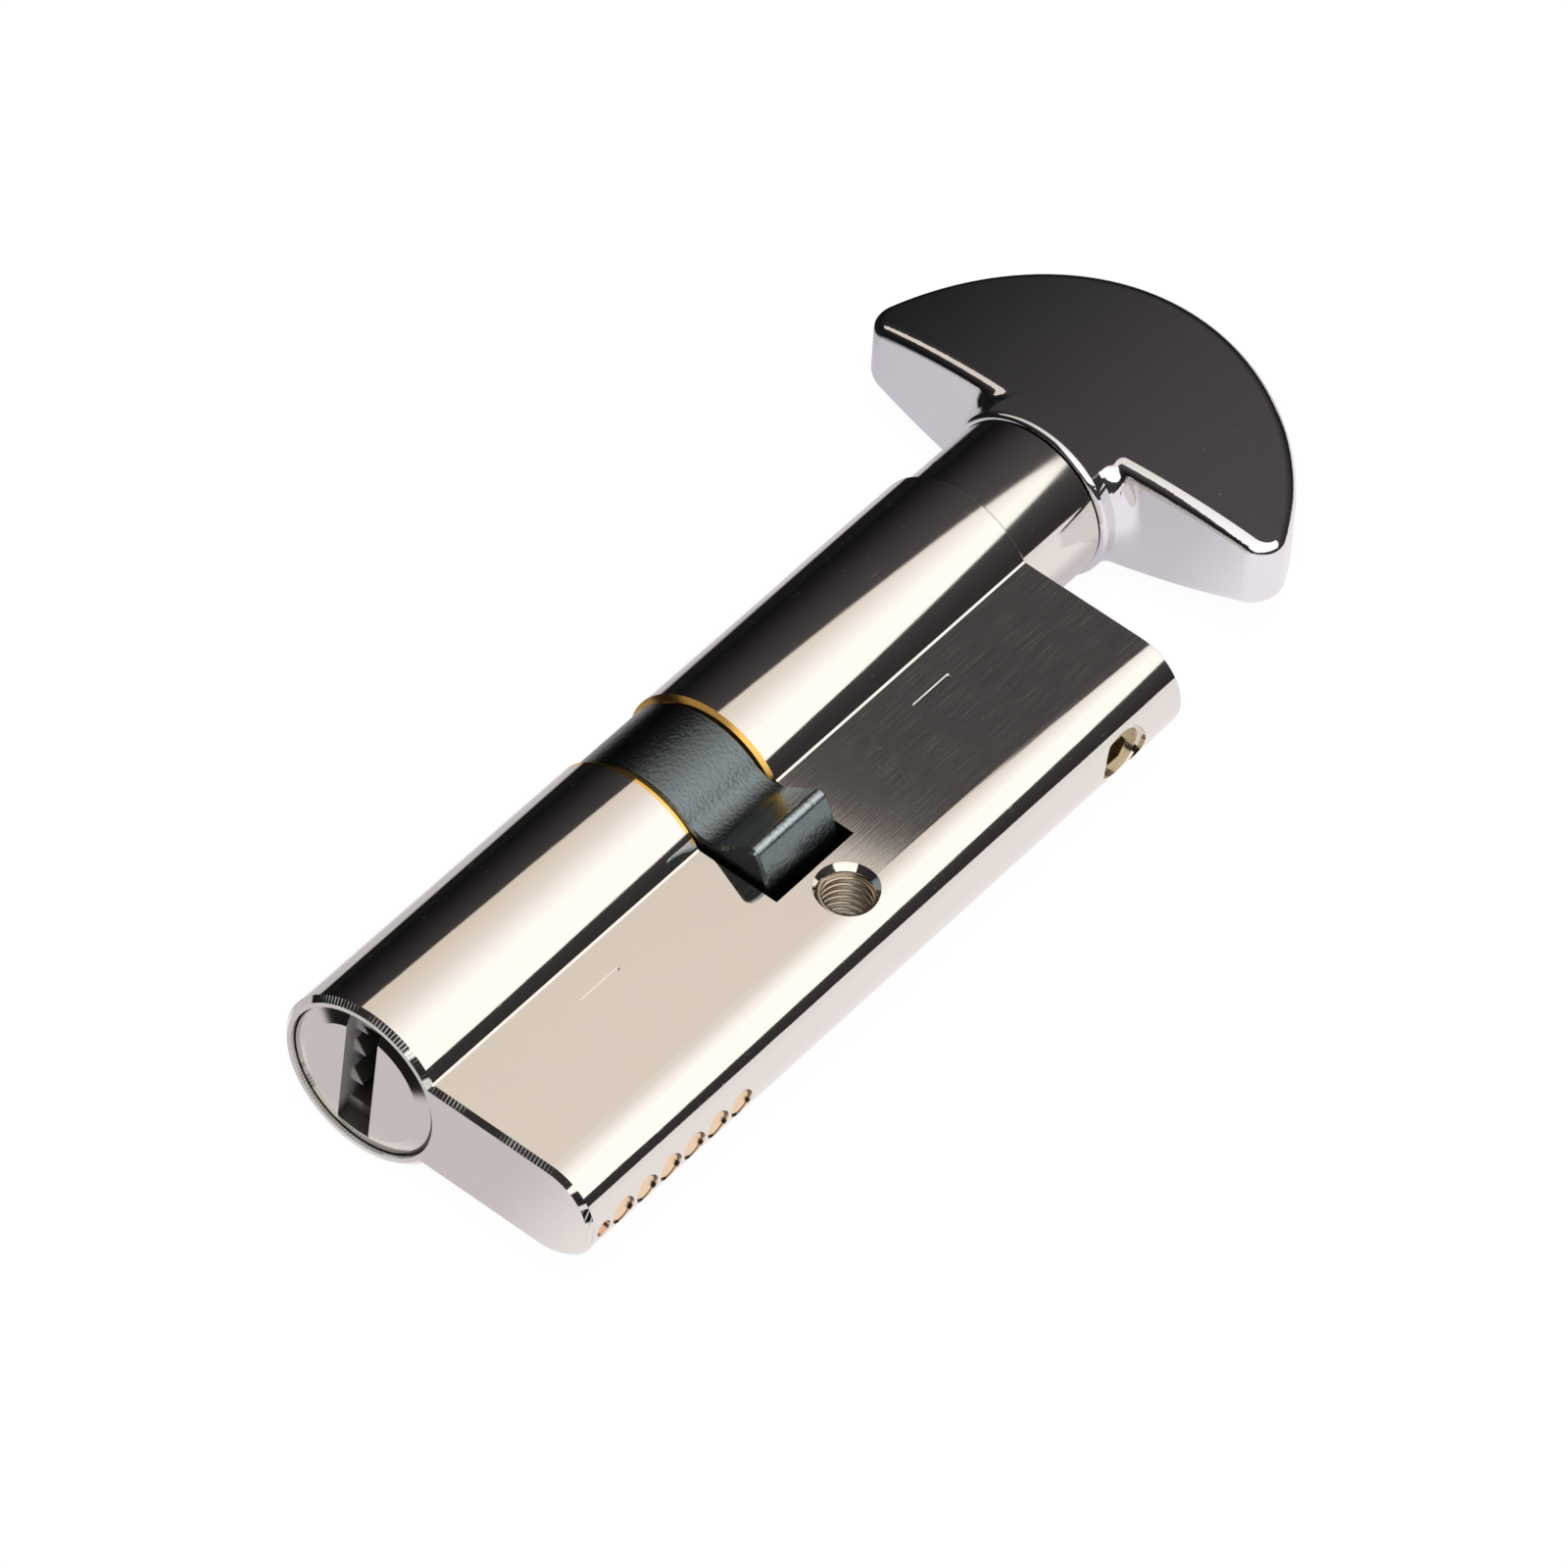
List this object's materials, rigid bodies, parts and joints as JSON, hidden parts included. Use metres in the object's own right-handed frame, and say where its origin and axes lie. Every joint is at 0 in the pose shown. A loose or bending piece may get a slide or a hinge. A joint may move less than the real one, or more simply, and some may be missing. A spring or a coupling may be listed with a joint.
{
  "type": "euro-profile lock cylinder",
  "caption": "Euro-profile lock cylinder: a keyed plug at one end, a half-moon thumb knob at the other, and a cam lever between them that throws a deadbolt.",
  "frame": {"origin": "middle of the fixing screw's hole", "axes": "+X along the barrel from the key end to the knob, +Y from the leg to the barrel, +Z along the fixing hole, normal to the flat side that faces up"},
  "size_m": [0.1124, 0.0467, 0.017],
  "materials": {
    "nickel": "bright nickel plate on brass",
    "chrome": "polished chrome plate",
    "dark_steel": "dark sintered steel",
    "brass": "bare turned brass",
    "copper_steel": "copper-coloured hard pin",
    "steel": "bare steel"
  },
  "bodies": {
    "body": {"cylinder_body": "nickel", "chamber_plug_1": "brass", "chamber_plug_2": "brass", "chamber_plug_3": "brass", "chamber_plug_4": "brass", "chamber_plug_5": "brass", "chamber_plug_6": "brass", "anti_drill_pin": "copper_steel", "retaining_pin": "steel", "retaining_screw": "brass", "pin_spring_1": "steel", "pin_spring_2": "steel", "pin_spring_3": "steel", "pin_spring_4": "steel", "pin_spring_5": "steel", "pin_spring_6": "steel"},
    "plug": {"key_plug": "nickel", "plug_circlip": "steel"},
    "rotor": {"cam": "dark_steel", "knob_shaft": "nickel", "thumb_knob": "chrome", "knob_set_screw": "steel", "coupling_spring": "steel"},
    "coupling_bar": {"coupling": "steel"},
    "key_pin_body_1": {"key_pin_1": "brass"},
    "key_pin_body_2": {"key_pin_2": "brass"},
    "key_pin_body_3": {"key_pin_3": "brass"},
    "key_pin_body_4": {"key_pin_4": "brass"},
    "key_pin_body_5": {"key_pin_5": "brass"},
    "key_pin_body_6": {"key_pin_6": "brass"},
    "driver_pin_body_1": {"driver_pin_1": "brass"},
    "driver_pin_body_2": {"driver_pin_2": "brass"},
    "driver_pin_body_3": {"driver_pin_3": "brass"},
    "driver_pin_body_4": {"driver_pin_4": "brass"},
    "driver_pin_body_5": {"driver_pin_5": "brass"},
    "driver_pin_body_6": {"driver_pin_6": "brass"}
  },
  "joints": [
    {"name": "plug_turn", "type": "hinge", "parent": "body", "child": "plug", "pos_m": [0, 0.0187, 0], "axis": [1, 0, 0], "continuous": true},
    {"name": "knob_turn", "type": "hinge", "parent": "body", "child": "rotor", "pos_m": [0, 0.0187, 0], "axis": [1, 0, 0], "continuous": true},
    {"name": "coupling_push", "type": "slide", "parent": "plug", "child": "coupling_bar", "axis": [1, 0, 0], "range_m": [0, 0.0016], "stiffness_N_per_m": 150, "springref_m": -0.003, "deforming": ["coupling_spring"]},
    {"name": "key_pin_fall_1", "type": "slide", "parent": "plug", "child": "key_pin_body_1", "axis": [0, 1, 0], "range_m": [0, 0.0009]},
    {"name": "key_pin_fall_2", "type": "slide", "parent": "plug", "child": "key_pin_body_2", "axis": [0, 1, 0], "range_m": [0, 0.0005]},
    {"name": "key_pin_fall_3", "type": "slide", "parent": "plug", "child": "key_pin_body_3", "axis": [0, 1, 0], "range_m": [0, 0.0013]},
    {"name": "key_pin_fall_4", "type": "slide", "parent": "plug", "child": "key_pin_body_4", "axis": [0, 1, 0], "range_m": [0, 0.0007]},
    {"name": "key_pin_fall_5", "type": "slide", "parent": "plug", "child": "key_pin_body_5", "axis": [0, 1, 0], "range_m": [0, 0.0011]},
    {"name": "key_pin_fall_6", "type": "slide", "parent": "plug", "child": "key_pin_body_6", "axis": [0, 1, 0], "range_m": [0, 0.0004]},
    {"name": "driver_lift_1", "type": "slide", "parent": "body", "child": "driver_pin_body_1", "axis": [0, -1, 0], "range_m": [0, 0.0025], "stiffness_N_per_m": 200, "springref_m": -0.004, "deforming": ["pin_spring_1"]},
    {"name": "driver_lift_2", "type": "slide", "parent": "body", "child": "driver_pin_body_2", "axis": [0, -1, 0], "range_m": [0, 0.0025], "stiffness_N_per_m": 200, "springref_m": -0.004, "deforming": ["pin_spring_2"]},
    {"name": "driver_lift_3", "type": "slide", "parent": "body", "child": "driver_pin_body_3", "axis": [0, -1, 0], "range_m": [0, 0.0025], "stiffness_N_per_m": 200, "springref_m": -0.004, "deforming": ["pin_spring_3"]},
    {"name": "driver_lift_4", "type": "slide", "parent": "body", "child": "driver_pin_body_4", "axis": [0, -1, 0], "range_m": [0, 0.0025], "stiffness_N_per_m": 200, "springref_m": -0.004, "deforming": ["pin_spring_4"]},
    {"name": "driver_lift_5", "type": "slide", "parent": "body", "child": "driver_pin_body_5", "axis": [0, -1, 0], "range_m": [0, 0.0025], "stiffness_N_per_m": 200, "springref_m": -0.004, "deforming": ["pin_spring_5"]},
    {"name": "driver_lift_6", "type": "slide", "parent": "body", "child": "driver_pin_body_6", "axis": [0, -1, 0], "range_m": [0, 0.0025], "stiffness_N_per_m": 200, "springref_m": -0.004, "deforming": ["pin_spring_6"]}
  ]
}
